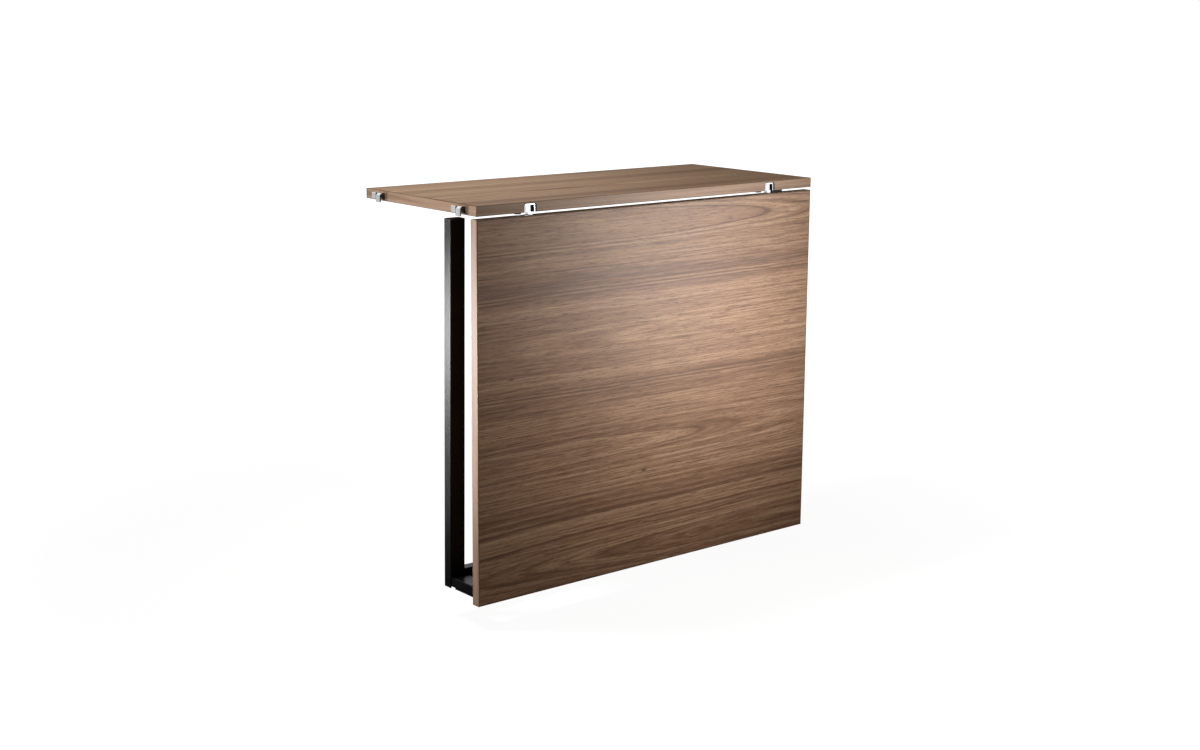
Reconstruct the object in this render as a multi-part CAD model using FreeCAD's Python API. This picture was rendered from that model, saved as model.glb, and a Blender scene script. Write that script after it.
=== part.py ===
import FreeCAD, Part
import math
import os

# Wall-hung drop-leaf table: a shelf that hangs by end hooks on the rungs of two wall ladders,
# a leaf that hangs from the shelf's front edge, and a leg frame folded up behind the leaf.
# Millimetres. X runs along the wall, Y towards the wall, Z up.
# The origin is the middle of the shelf's rear edge face, which stands against the wall.

# Boards
WIDTH = 780.0            # shelf and leaf, end to end
SHELF_DEPTH = 335.0      # front edge to wall edge
LEAF_LENGTH = 662.0      # hinged edge to free edge
BOARD = 18.0             # thickness of both boards
BAND = 1.5               # thickness of the edge bands
ARRIS = 1.0              # softening of the boards' and brackets' long corners
LEAF_GAP = 5.5           # between shelf and hanging leaf
OPEN_GAP = 2.0           # between shelf and raised leaf

# End hooks, which sit over the ladders' rungs
RUNG_R = 3.0             # radius of a rung
RUNG_CLEAR = 0.1         # radial clearance over the rung
HOOK_PLATE = 1.6         # wall between rung and shelf end
HOOK_WALL = 2.2          # roof and outer wall
HOOK_TAB = 13.0          # front stretch with the long lip
HOOK_BLOCK = 13.0        # rear stretch with the short lip
TAB_DROP = 10.6          # long lip's tip below the rung's centre
BLOCK_DROP = 5.5         # short lip's end below the rung's centre
BLOCK_CORNER = 1.5       # rounding of the short stretch's outer corner
HOOK_INSET = 46.0        # hook's middle from the shelf's front and rear edges
TANG_WIDE = 16.0         # flat tang in the shelf end
TANG_THICK = 6.0
TANG_LENGTH = 22.0
TANG_CLEAR = 0.05

# Concealed leaf hinges
HINGE_INSET = 110.0      # hinge's middle from the boards' ends
HOUSING_WIDTH = 24.0
HOUSING_SET = 1.5        # housing's front behind the shelf's front
HOUSING_CORNER = 3.5     # rounding of the housing's upper corners
CHEEK = 3.0              # side walls of the housing
HOUSING_ROOF = 2.5
HOUSING_BACK = 2.5
ARM_WIDE = 8.5           # arm along the pin
ARM_THICK = 9.0          # arm across the pin
ARM_CLEAR = 0.5          # arm to the housing's roof and back
ARM_SIDE_CLEAR = 0.25    # arm to its neighbours along the pin
ARM_ROOT = 16.0          # arm's depth in the leaf's edge
HINGE_PIN_R = 2.5
HINGE_PIN_END = 0.25     # pin ends below the housing's sides
SPACER_CLEAR = 0.1       # block beside the arm to the housing
SPACER_INSET = 0.3       # that block's front and underside inside the shelf's
FLANGE = 2.0             # plates let into the boards' undersides
HOUSING_FLANGE = 28.0    # plate behind the housing
ARM_FLANGE = 46.0        # plate on the leaf's back
PLATE_CORNER = 4.0       # clipped corners of the plates' free ends
POCKET_CLEAR = 0.4       # recesses round the hinge pieces

# Hexagon-head wood screws
SCREW_R = 2.0
SCREW_LENGTH = 14.0      # under the head
SCREW_ACROSS = 8.0       # head across its flats
SCREW_HEAD = 3.0
SCREW_PITCH = 14.0
SCREW_MARGIN = 7.0       # last screw from a plate's end
SCREW_CLEAR = 0.05

# Leg frame of rectangular tube
LEG_WIDE = 30.0          # tube along X in the legs, upright in the rail
LEG_DEEP = 20.0
LEG_WALL = 1.5
LEG_CORNER = 2.0         # outer rounding of the tube
LEG_HEEL = 11.0          # tube's end beyond the pivot
LEG_TIP_GAP = 11.0       # folded feet below the shelf
LEG_LEAN = 0.75          # degrees that the folded frame leans to the leaf
CAP_FLANGE = 3.0         # foot caps
CAP_PLUG = 20.0
CAP_WALL = 2.5
CAP_CLEAR = 0.1

# Leg pivots
PIVOT_STANDOFF = 75.0    # pivot behind the leaf's back
PIVOT_RISE = 22.5        # pivot above the leaf's free edge
PIVOT_R = 4.0
PIVOT_END = 0.3          # pin ends below the tube's sides
TONGUE_TALL = 16.0       # bracket's tongue in the tube
TONGUE_SIDE_CLEAR = 0.3  # tongue to the tube's inner sides
TONGUE_CLEAR = 0.6       # tongue to the top of the tube's slot
BRACKET_REACH = 52.0     # bracket's square post behind the leaf
BRACKET_FLANGE = 3.0
BRACKET_FOOT = 64.0      # bracket's screwed foot, inwards from the post
BRACKET_WEB = 14.0       # gusset between post and foot
BRACKET_SCREWS = 2
BRACKET_PITCH = 28.0

# Fits
PIN_CLEAR = 0.05         # running fit of a pin, radial
SEAT_CLEAR = 0.02        # fixed seat of a pin, radial
OVERCUT = 1.0            # cutters beyond the faces that they open

# Places that follow from the sizes
HALF = WIDTH / 2
TOP_Z = BOARD / 2
UNDER_Z = -BOARD / 2
FRONT_Y = -SHELF_DEPTH
LEAF_TOP_Z = UNDER_Z - LEAF_GAP
LEAF_LOW_Z = LEAF_TOP_Z - LEAF_LENGTH
LEAF_BACK_Y = FRONT_Y + BOARD
HINGE_Y = FRONT_Y + (BOARD + LEAF_GAP - OPEN_GAP) / 2
HINGE_Z = UNDER_Z + (BOARD - LEAF_GAP + OPEN_GAP) / 2
ARM_HALF = ARM_THICK / 2
HOUSING_BACK_Y = HINGE_Y + ARM_HALF + ARM_CLEAR + HOUSING_BACK
HOUSING_TOP_Z = HINGE_Z + ARM_HALF + ARM_CLEAR + HOUSING_ROOF
PIVOT_Y = LEAF_BACK_Y + PIVOT_STANDOFF
PIVOT_Z = LEAF_LOW_Z + PIVOT_RISE
LEAN = math.radians(LEG_LEAN)
LEG_REACH = (UNDER_Z - LEG_TIP_GAP - PIVOT_Z - LEG_DEEP / 2 * math.sin(LEAN)) / math.cos(LEAN)
HINGES = (("left", -HALF + HINGE_INSET), ("right", HALF - HINGE_INSET))
ENDS = (("left", -1), ("right", 1))
DIAGONAL = math.sqrt(0.5)

X_AXIS = FreeCAD.Vector(1, 0, 0)
Y_AXIS = FreeCAD.Vector(0, 1, 0)
Z_AXIS = FreeCAD.Vector(0, 0, 1)
ORIGIN = FreeCAD.Vector(0, 0, 0)


def vec(x, y, z):
    return FreeCAD.Vector(x, y, z)


def near(a, b):
    return abs(a - b) < 1e-6


def block(low, high):
    size = [b - a for a, b in zip(low, high)]
    return Part.makeBox(size[0], size[1], size[2], vec(*low))


def rod(radius, start, axis, length):
    return Part.makeCylinder(radius, length, start, axis)


def outline(start, steps):
    # Closed wire. A step is the next corner, or a pair for an arc: its middle, then its end.
    edges = []
    here = start
    for step in steps + [start]:
        if isinstance(step, tuple):
            edges.append(Part.Arc(here, step[0], step[1]).toShape())
            here = step[1]
        elif not near(here.distanceToPoint(step), 0):
            edges.append(Part.LineSegment(here, step).toShape())
            here = step
    return Part.Wire(edges)


def prism(start, steps, direction):
    return Part.Face(outline(start, steps)).extrude(direction)


def runs_along(edge, axis):
    ends = [vertex.Point for vertex in edge.Vertexes]
    if len(ends) < 2:
        return False
    return near((ends[1] - ends[0]).cross(axis).Length, 0)


def at_level(edge, axis, level):
    return all(near(vertex.Point.dot(axis), level) for vertex in edge.Vertexes)


def edges_at(shape, run, axis, level):
    # Straight edges that run along one axis at a level of another
    return [edge for edge in shape.Edges if runs_along(edge, run) and at_level(edge, axis, level)]


def save(shape, node):
    shape.exportStep(os.path.join("parts", node + ".step"))


def on_side(left_shape, side):
    return left_shape if side < 0 else left_shape.mirror(ORIGIN, X_AXIS)


# Wood screws, placed by the seat under the head, with a pilot hole of the shank's size

def shank(seat, into, clear):
    return rod(SCREW_R + clear, seat, into, SCREW_LENGTH + clear)


def wood_screw(seat, into):
    reach = SCREW_ACROSS / math.sqrt(3)
    upright = into.cross(X_AXIS)
    turns = [math.radians(60 * i) for i in range(6)]
    corners = [seat + X_AXIS * (reach * math.cos(t)) + upright * (reach * math.sin(t)) for t in turns]
    return prism(corners[0], corners[1:], -into * SCREW_HEAD).fuse(shank(seat, into, 0))


def drilled(shape, seats, into):
    for seat in seats:
        shape = shape.cut(shank(seat, into, SCREW_CLEAR))
    return shape


# Edge-banded boards, each a veneered panel with four bands

def band(low, high, run, face_axis, face_level):
    # Band whose two long corners on its outer face are rounded
    plain = block(low, high)
    return plain.makeFillet(ARRIS, edges_at(plain, run, face_axis, face_level))


def shelf_boards():
    inner = HALF - BAND
    front = FRONT_Y + BAND
    rear = -BAND
    return {
        "shelf_panel": block((-inner, front, UNDER_Z), (inner, rear, TOP_Z)),
        "shelf_front_edge": band((-HALF, FRONT_Y, UNDER_Z), (HALF, front, TOP_Z), X_AXIS, Y_AXIS, FRONT_Y),
        "shelf_rear_edge": band((-HALF, rear, UNDER_Z), (HALF, 0, TOP_Z), X_AXIS, Y_AXIS, 0),
        "shelf_left_edge": band((-HALF, front, UNDER_Z), (-inner, rear, TOP_Z), Y_AXIS, X_AXIS, -HALF),
        "shelf_right_edge": band((inner, front, UNDER_Z), (HALF, rear, TOP_Z), Y_AXIS, X_AXIS, HALF),
    }


def leaf_boards():
    inner = HALF - BAND
    top = LEAF_TOP_Z
    high = top - BAND
    bottom = LEAF_LOW_Z
    low = bottom + BAND
    front = FRONT_Y
    back = LEAF_BACK_Y
    return {
        "leaf_panel": block((-inner, front, low), (inner, back, high)),
        "leaf_hinge_edge": band((-inner, front, high), (inner, back, top), X_AXIS, Z_AXIS, top),
        "leaf_free_edge": band((-inner, front, bottom), (inner, back, low), X_AXIS, Z_AXIS, bottom),
        "leaf_left_edge": band((-HALF, front, bottom), (-inner, back, top), Z_AXIS, X_AXIS, -HALF),
        "leaf_right_edge": band((inner, front, bottom), (HALF, back, top), Z_AXIS, X_AXIS, HALF),
    }


# End hooks: an inverted trough over the rung, with a longer outer lip on its front stretch

HOOK_R = RUNG_R + RUNG_CLEAR
HOOK_LENGTH = HOOK_TAB + HOOK_BLOCK
RUNG_X = HALF + HOOK_PLATE + HOOK_R
HOOK_LEVELS = (("front", FRONT_Y + HOOK_INSET), ("rear", -HOOK_INSET))


def trough(start_y, length, lip_drop, corner):
    # Left-hand trough: the shelf end is on its +X side
    roof = HOOK_R + HOOK_WALL
    outer = -RUNG_X - roof
    bend = corner * (1 - DIAGONAL)
    return prism(
        vec(-HALF, start_y, -BLOCK_DROP),
        [
            vec(-HALF, start_y, roof),
            vec(outer + corner, start_y, roof),
            (vec(outer + bend, start_y, roof - bend), vec(outer, start_y, roof - corner)),
            vec(outer, start_y, -lip_drop),
            vec(outer + HOOK_WALL, start_y, -lip_drop),
            vec(outer + HOOK_WALL, start_y, 0),
            (vec(-RUNG_X, start_y, HOOK_R), vec(-RUNG_X + HOOK_R, start_y, 0)),
            vec(-RUNG_X + HOOK_R, start_y, -BLOCK_DROP),
        ],
        Y_AXIS * length,
    )


def tang(middle_y, clear):
    # Flat tang in the left-hand shelf end, or its mortise where it has a clearance
    half_wide = TANG_WIDE / 2 + clear
    half_thick = TANG_THICK / 2 + clear
    end = -HALF + TANG_LENGTH + clear
    return block((-HALF, middle_y - half_wide, -half_thick), (end, middle_y + half_wide, half_thick))


def left_hook(middle_y):
    start = middle_y - HOOK_LENGTH / 2
    tab = trough(start, HOOK_TAB, TAB_DROP, HOOK_R + HOOK_WALL)
    short = trough(start + HOOK_TAB, HOOK_BLOCK, BLOCK_DROP, BLOCK_CORNER)
    return tab.fuse(short).fuse(tang(middle_y, 0)).removeSplitter()


# Concealed hinges: a housing in the shelf's front edge, an arm from the leaf's edge and a pin

def arm_span(middle_x):
    # The arm runs on the right of its housing
    end = middle_x + HOUSING_WIDTH / 2 - CHEEK - ARM_SIDE_CLEAR
    return end - ARM_WIDE, end


def housing_plate(middle_x, grow):
    # Plate under the shelf behind the housing, or its recess where it is grown
    half = HOUSING_WIDTH / 2 + grow
    start = HOUSING_BACK_Y - HOUSING_BACK
    end = HOUSING_BACK_Y + HOUSING_FLANGE + grow
    plain = block((middle_x - half, start, UNDER_Z), (middle_x + half, end, UNDER_Z + FLANGE))
    return plain.makeChamfer(PLATE_CORNER, edges_at(plain, Z_AXIS, Y_AXIS, end))


def housing_screw_places(middle_x):
    last = HOUSING_BACK_Y + HOUSING_FLANGE - SCREW_MARGIN
    return [vec(middle_x, last - SCREW_PITCH * i, UNDER_Z) for i in range(2)]


def arched(low, high, grow):
    # Block with the housing's rounded upper corners
    plain = block(low, high)
    return plain.makeFillet(HOUSING_CORNER + grow, edges_at(plain, Y_AXIS, Z_AXIS, high[2]))


def housing(middle_x):
    half = HOUSING_WIDTH / 2
    shell_low = (middle_x - half, FRONT_Y + HOUSING_SET, UNDER_Z)
    shell = arched(shell_low, (middle_x + half, HOUSING_BACK_Y, HOUSING_TOP_Z), 0)
    hollow_low = (middle_x - half + CHEEK, FRONT_Y - OVERCUT, UNDER_Z - OVERCUT)
    hollow_high = (middle_x + half - CHEEK, HOUSING_BACK_Y - HOUSING_BACK, HOUSING_TOP_Z - HOUSING_ROOF)
    shell = shell.cut(block(hollow_low, hollow_high))
    shell = shell.fuse(housing_plate(middle_x, 0)).removeSplitter()
    bore_start = vec(middle_x - half - OVERCUT, HINGE_Y, HINGE_Z)
    bore = rod(HINGE_PIN_R + SEAT_CLEAR, bore_start, X_AXIS, HOUSING_WIDTH + 2 * OVERCUT)
    return drilled(shell.cut(bore), housing_screw_places(middle_x), Z_AXIS)


def housing_pocket(middle_x):
    half = HOUSING_WIDTH / 2 + POCKET_CLEAR
    low = (middle_x - half, FRONT_Y - OVERCUT, UNDER_Z - OVERCUT)
    high = (middle_x + half, HOUSING_BACK_Y + POCKET_CLEAR, HOUSING_TOP_Z + POCKET_CLEAR)
    return arched(low, high, POCKET_CLEAR).fuse(housing_plate(middle_x, POCKET_CLEAR))


def hinge_pin(middle_x):
    start = middle_x - HOUSING_WIDTH / 2 + HINGE_PIN_END
    return rod(HINGE_PIN_R, vec(start, HINGE_Y, HINGE_Z), X_AXIS, HOUSING_WIDTH - 2 * HINGE_PIN_END)


def hinge_spacer(middle_x):
    # Block that fills the housing beside the arm, keeps the arm to its side and closes the pocket flush
    start = middle_x - HOUSING_WIDTH / 2 + CHEEK + SPACER_CLEAR
    end = arm_span(middle_x)[0] - ARM_SIDE_CLEAR
    low = (start, FRONT_Y + SPACER_INSET, UNDER_Z + SPACER_INSET)
    high = (end, HOUSING_BACK_Y - HOUSING_BACK - SPACER_CLEAR, HOUSING_TOP_Z - HOUSING_ROOF - SPACER_CLEAR)
    bore = rod(HINGE_PIN_R + PIN_CLEAR, vec(start, HINGE_Y, HINGE_Z), X_AXIS, end - start)
    return block(low, high).cut(bore)


def arm_plate(middle_x, grow):
    # Plate on the leaf's back, or its recess where it is grown
    half = HOUSING_WIDTH / 2 + grow
    low = LEAF_TOP_Z - ARM_FLANGE - grow
    front = LEAF_BACK_Y - FLANGE
    plain = block((middle_x - half, front, low), (middle_x + half, LEAF_BACK_Y, LEAF_TOP_Z))
    return plain.makeChamfer(PLATE_CORNER, edges_at(plain, Y_AXIS, Z_AXIS, low))


def arm_root(middle_x, grow):
    start, end = arm_span(middle_x)
    low = (start - grow, HINGE_Y - ARM_HALF - grow, LEAF_TOP_Z - ARM_ROOT - grow)
    return block(low, (end + grow, LEAF_BACK_Y, LEAF_TOP_Z))


def arm_screw_places(middle_x):
    last = LEAF_TOP_Z - ARM_FLANGE + SCREW_MARGIN
    return [vec(middle_x, LEAF_BACK_Y, last + SCREW_PITCH * i) for i in range(2)]


def hinge_arm(middle_x):
    start, end = arm_span(middle_x)
    stem = prism(
        vec(start, HINGE_Y - ARM_HALF, LEAF_TOP_Z),
        [
            vec(start, HINGE_Y - ARM_HALF, HINGE_Z),
            (vec(start, HINGE_Y, HINGE_Z + ARM_HALF), vec(start, HINGE_Y + ARM_HALF, HINGE_Z)),
            vec(start, HINGE_Y + ARM_HALF, LEAF_TOP_Z),
        ],
        X_AXIS * ARM_WIDE,
    )
    bore = rod(HINGE_PIN_R + PIN_CLEAR, vec(start, HINGE_Y, HINGE_Z), X_AXIS, ARM_WIDE)
    arm = stem.cut(bore).fuse(arm_root(middle_x, 0)).fuse(arm_plate(middle_x, 0)).removeSplitter()
    return drilled(arm, arm_screw_places(middle_x), -Y_AXIS)


def arm_pocket(middle_x):
    raised = vec(0, 0, POCKET_CLEAR)
    root = arm_root(middle_x, POCKET_CLEAR)
    plate = arm_plate(middle_x, POCKET_CLEAR)
    plate_front = LEAF_BACK_Y - FLANGE
    mouth = block(
        (middle_x - HOUSING_WIDTH / 2 - POCKET_CLEAR, plate_front, LEAF_TOP_Z - POCKET_CLEAR),
        (middle_x + HOUSING_WIDTH / 2 + POCKET_CLEAR, LEAF_BACK_Y, LEAF_TOP_Z + POCKET_CLEAR),
    )
    return root.fuse(root.translated(raised)).fuse(plate).fuse(mouth)


# Leg brackets: a square post behind the leaf, a screwed foot and a tongue in the leg tube

def bracket_screw_places():
    last = -HALF + LEG_WIDE + BRACKET_FOOT - SCREW_MARGIN
    surface = LEAF_BACK_Y + BRACKET_FLANGE
    return [vec(last - BRACKET_PITCH * i, surface, PIVOT_Z) for i in range(BRACKET_SCREWS)]


def left_bracket():
    low = PIVOT_Z - LEG_DEEP / 2
    post_in = -HALF + LEG_WIDE
    foot_end = post_in + BRACKET_FOOT
    foot_y = LEAF_BACK_Y + BRACKET_FLANGE
    post_end = LEAF_BACK_Y + BRACKET_REACH
    body = prism(
        vec(-HALF, LEAF_BACK_Y, low),
        [
            vec(foot_end, LEAF_BACK_Y, low),
            vec(foot_end, foot_y, low),
            vec(post_in + BRACKET_WEB, foot_y, low),
            vec(post_in, foot_y + BRACKET_WEB, low),
            vec(post_in, post_end, low),
            vec(-HALF, post_end, low),
        ],
        Z_AXIS * LEG_DEEP,
    )
    body = body.makeChamfer(ARRIS, edges_at(body, Y_AXIS, X_AXIS, -HALF))
    body = body.makeChamfer(PLATE_CORNER, edges_at(body, Y_AXIS, X_AXIS, foot_end))
    body = body.fuse(left_tongue()).removeSplitter()
    bore = rod(PIVOT_R + PIN_CLEAR, vec(-HALF, PIVOT_Y, PIVOT_Z), X_AXIS, LEG_WIDE)
    return drilled(body.cut(bore), bracket_screw_places(), -Y_AXIS)


def left_tongue():
    half = TONGUE_TALL / 2
    start = -HALF + LEG_WALL + TONGUE_SIDE_CLEAR
    wide = LEG_WIDE - 2 * (LEG_WALL + TONGUE_SIDE_CLEAR)
    root = LEAF_BACK_Y + BRACKET_REACH
    return prism(
        vec(start, root, PIVOT_Z - half),
        [
            vec(start, PIVOT_Y, PIVOT_Z - half),
            (vec(start, PIVOT_Y + half, PIVOT_Z), vec(start, PIVOT_Y, PIVOT_Z + half)),
            vec(start, root, PIVOT_Z + half),
        ],
        X_AXIS * wide,
    )


# Leg frame: drawn upright about the pivot, then leant to the leaf

def rounded_rectangle(centre, along, wide, across, deep, corner):
    # Closed face, wide and deep, with rounded corners
    half_w = along * (wide / 2)
    half_d = across * (deep / 2)
    in_w = along * corner
    in_d = across * corner
    bend_w = along * (corner * (1 - DIAGONAL))
    bend_d = across * (corner * (1 - DIAGONAL))
    steps = []
    for w, d in ((1, -1), (1, 1), (-1, 1), (-1, -1)):
        tip = centre + half_w * w + half_d * d
        flat_w = tip - in_w * w
        flat_d = tip - in_d * d
        middle = tip - bend_w * w - bend_d * d
        first, last = (flat_w, flat_d) if w * d < 0 else (flat_d, flat_w)
        steps.append(first)
        steps.append((middle, last))
    return Part.Face(outline(steps[-1][1], steps))


def bar(centre, along, across, length):
    # Solid bar of the tube's outer section
    return rounded_rectangle(centre, along, LEG_WIDE, across, LEG_DEEP, LEG_CORNER).extrude(length)


def core(centre, along, across, inset, length):
    # Square-cornered bar inside the tube's section, each side drawn in by the inset
    half_w = along * (LEG_WIDE / 2 - inset)
    half_d = across * (LEG_DEEP / 2 - inset)
    corners = [centre + half_w * w + half_d * d for w, d in ((1, -1), (1, 1), (-1, 1), (-1, -1))]
    return prism(corners[0], corners[1:], length)


def tube(centre, along, across, length):
    return bar(centre, along, across, length).cut(core(centre, along, across, LEG_WALL, length))


def leant(shape):
    shape.rotate(vec(0, PIVOT_Y, PIVOT_Z), X_AXIS, LEG_LEAN)
    return shape


LEG_MIDDLE_X = -HALF + LEG_WIDE / 2
LEG_LOW_Z = PIVOT_Z - LEG_HEEL
TUBE_TOP_Z = PIVOT_Z + LEG_REACH - CAP_FLANGE


def left_leg():
    leg = tube(vec(LEG_MIDDLE_X, PIVOT_Y, LEG_LOW_Z), X_AXIS, Y_AXIS, Z_AXIS * (TUBE_TOP_Z - LEG_LOW_Z))
    slot_half = LEG_WIDE / 2 - LEG_WALL
    slot_top = PIVOT_Z + TONGUE_TALL / 2 + TONGUE_CLEAR
    slot = block(
        (LEG_MIDDLE_X - slot_half, PIVOT_Y - LEG_DEEP / 2 - OVERCUT, LEG_LOW_Z - OVERCUT),
        (LEG_MIDDLE_X + slot_half, PIVOT_Y, slot_top),
    )
    bore = rod(PIVOT_R + SEAT_CLEAR, vec(-HALF, PIVOT_Y, PIVOT_Z), X_AXIS, LEG_WIDE)
    return leant(leg.cut(slot).cut(bore))


def cross_rail():
    start = vec(-HALF + LEG_WIDE, PIVOT_Y, LEG_LOW_Z + LEG_WIDE / 2)
    return leant(tube(start, Z_AXIS, Y_AXIS, X_AXIS * (WIDTH - 2 * LEG_WIDE)))


def left_foot_cap():
    seat = vec(LEG_MIDDLE_X, PIVOT_Y, TUBE_TOP_Z)
    cap = bar(seat, X_AXIS, Y_AXIS, Z_AXIS * CAP_FLANGE)
    inset = LEG_WALL + CAP_CLEAR
    plug = core(seat, X_AXIS, Y_AXIS, inset, -Z_AXIS * CAP_PLUG)
    hollow = core(seat, X_AXIS, Y_AXIS, inset + CAP_WALL, -Z_AXIS * CAP_PLUG)
    return leant(cap.fuse(plug.cut(hollow)).removeSplitter())


def left_pivot_pin():
    start = vec(-HALF + PIVOT_END, PIVOT_Y, PIVOT_Z)
    return leant(rod(PIVOT_R, start, X_AXIS, LEG_WIDE - 2 * PIVOT_END))


# Every piece, with the recesses that its neighbours need

def make_shelf():
    boards = shelf_boards()
    hooks = [(level, side, middle_y) for level, middle_y in HOOK_LEVELS for side in ENDS]
    for level, (side, sign), middle_y in hooks:
        save(on_side(left_hook(middle_y), sign), "hook_%s_%s" % (level, side))
        mortise = on_side(tang(middle_y, TANG_CLEAR), sign)
        for node in ("shelf_panel", "shelf_%s_edge" % side):
            boards[node] = boards[node].cut(mortise)
    screws = []
    for side, middle_x in HINGES:
        save(housing(middle_x), "hinge_housing_" + side)
        save(hinge_pin(middle_x), "hinge_pin_" + side)
        save(hinge_spacer(middle_x), "hinge_spacer_" + side)
        seats = housing_screw_places(middle_x)
        screws.extend(wood_screw(seat, Z_AXIS) for seat in seats)
        for node in ("shelf_panel", "shelf_front_edge"):
            boards[node] = boards[node].cut(housing_pocket(middle_x))
        boards["shelf_panel"] = drilled(boards["shelf_panel"], seats, Z_AXIS)
    save(Part.makeCompound(screws), "housing_screws")
    for node, shape in boards.items():
        save(shape, node)


def make_leaf():
    boards = leaf_boards()
    arm_screws = []
    for side, middle_x in HINGES:
        save(hinge_arm(middle_x), "hinge_arm_" + side)
        seats = arm_screw_places(middle_x)
        arm_screws.extend(wood_screw(seat, -Y_AXIS) for seat in seats)
        for node in ("leaf_panel", "leaf_hinge_edge"):
            boards[node] = boards[node].cut(arm_pocket(middle_x))
        boards["leaf_panel"] = drilled(boards["leaf_panel"], seats, -Y_AXIS)
    save(Part.makeCompound(arm_screws), "arm_screws")
    bracket_screws = []
    for side, sign in ENDS:
        save(on_side(left_bracket(), sign), "leg_bracket_" + side)
        seats = [vec(-sign * seat.x, seat.y, seat.z) for seat in bracket_screw_places()]
        bracket_screws.extend(wood_screw(seat, -Y_AXIS) for seat in seats)
        boards["leaf_panel"] = drilled(boards["leaf_panel"], seats, -Y_AXIS)
    save(Part.makeCompound(bracket_screws), "bracket_screws")
    for node, shape in boards.items():
        save(shape, node)


def make_leg_frame():
    pieces = {
        "leg_tube": left_leg,
        "foot_cap": left_foot_cap,
        "pivot_pin": left_pivot_pin,
    }
    for name, make in pieces.items():
        for side, sign in ENDS:
            save(on_side(make(), sign), "%s_%s" % (name, side))
    save(cross_rail(), "cross_rail")


os.makedirs("parts", exist_ok=True)
make_shelf()
make_leaf()
make_leg_frame()
print("hinge axis at y %.2f z %.2f" % (HINGE_Y, HINGE_Z))
print("leg pivot at y %.2f z %.2f" % (PIVOT_Y, PIVOT_Z))
print("table height when open %.1f" % (BOARD + PIVOT_STANDOFF + LEG_REACH))
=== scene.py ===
import bpy
import bmesh
import math
from mathutils import Matrix, Vector


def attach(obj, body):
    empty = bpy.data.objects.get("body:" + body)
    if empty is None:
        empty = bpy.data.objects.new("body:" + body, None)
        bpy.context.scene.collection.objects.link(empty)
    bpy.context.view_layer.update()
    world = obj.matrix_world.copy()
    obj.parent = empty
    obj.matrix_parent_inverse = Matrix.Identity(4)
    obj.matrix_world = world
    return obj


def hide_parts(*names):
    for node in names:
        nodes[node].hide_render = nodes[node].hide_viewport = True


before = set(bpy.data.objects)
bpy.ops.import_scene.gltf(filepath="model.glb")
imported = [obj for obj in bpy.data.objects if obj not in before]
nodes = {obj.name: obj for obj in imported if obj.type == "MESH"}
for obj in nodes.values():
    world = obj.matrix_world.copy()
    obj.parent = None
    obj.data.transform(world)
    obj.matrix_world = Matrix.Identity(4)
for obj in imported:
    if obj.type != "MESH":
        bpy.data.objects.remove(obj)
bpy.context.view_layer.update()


# Shader helpers

def startMaterial(name):
    made = bpy.data.materials.new(name)
    made.use_nodes = True
    tree = made.node_tree
    shader = tree.nodes["Principled BSDF"]
    return made, tree, shader


def wire(tree, node, sockets):
    # a socket of another node is linked, anything else is a plain value
    for key, value in sockets.items():
        if isinstance(value, bpy.types.NodeSocket):
            tree.links.new(value, node.inputs[key])
        else:
            node.inputs[key].default_value = value


def addNode(tree, kind, sockets=None, **settings):
    node = tree.nodes.new(kind)
    for key, value in settings.items():
        setattr(node, key, value)
    wire(tree, node, sockets or {})
    return node


def math2(tree, operation, first, second=0.0, third=0.0):
    sockets = {0: first, 1: second, 2: third}
    return addNode(tree, "ShaderNodeMath", sockets, operation=operation).outputs[0]


def coordsOf(tree, kind="Object"):
    return addNode(tree, "ShaderNodeTexCoord").outputs[kind]


def axesOf(tree, coords):
    return addNode(tree, "ShaderNodeSeparateXYZ", {0: coords}).outputs


def noiseOf(tree, coords, stretch, detail, roughness=0.5, place=(0, 0, 0)):
    mapping = addNode(tree, "ShaderNodeMapping", {"Vector": coords, "Scale": stretch, "Location": place})
    sockets = {"Vector": mapping.outputs["Vector"], "Scale": 1.0, "Detail": detail, "Roughness": roughness}
    return addNode(tree, "ShaderNodeTexNoise", sockets, noise_dimensions="3D").outputs["Fac"]


def noiseAlong(tree, place, detail, roughness=0.5):
    sockets = {"W": place, "Scale": 1.0, "Detail": detail, "Roughness": roughness}
    return addNode(tree, "ShaderNodeTexNoise", sockets, noise_dimensions="1D").outputs["Fac"]


def remap(tree, value, fromLow, fromHigh, toLow, toHigh, kind="LINEAR"):
    sockets = {"Value": value, "From Min": fromLow, "From Max": fromHigh, "To Min": toLow, "To Max": toHigh}
    return addNode(tree, "ShaderNodeMapRange", sockets, interpolation_type=kind).outputs["Result"]


def rampOf(tree, value, places, colours):
    ramp = addNode(tree, "ShaderNodeValToRGB", {"Fac": value})
    elements = ramp.color_ramp.elements
    while len(elements) < len(places):
        elements.new(0.5)
    for element, place, colour in zip(elements, places, colours):
        element.position = place
        element.color = (*colour, 1)
    return ramp.outputs["Color"]


def mixColour(tree, factor, first, second):
    node = addNode(tree, "ShaderNodeMix", data_type="RGBA")
    wire(tree, node, {0: factor, 6: first, 7: second})
    return node.outputs[2]


def bumpOf(tree, height, strength, distance):
    bump = addNode(tree, "ShaderNodeBump", {"Height": height, "Strength": strength, "Distance": distance})
    return bump.outputs["Normal"]


noiseSpan = (0.3, 0.7)       # where most of a noise lies


# Walnut veneer: flat-sawn sheets laid side by side across the board, grain along X

walnut = {
    "dark": (0.135, 0.069, 0.039),
    "middle": (0.275, 0.150, 0.088),
    "light": (0.430, 0.270, 0.170),
    "pore": (0.115, 0.058, 0.033),
    "knot": (0.060, 0.030, 0.018),
    "glueAndShade": (0.070, 0.038, 0.023),
}

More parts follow.
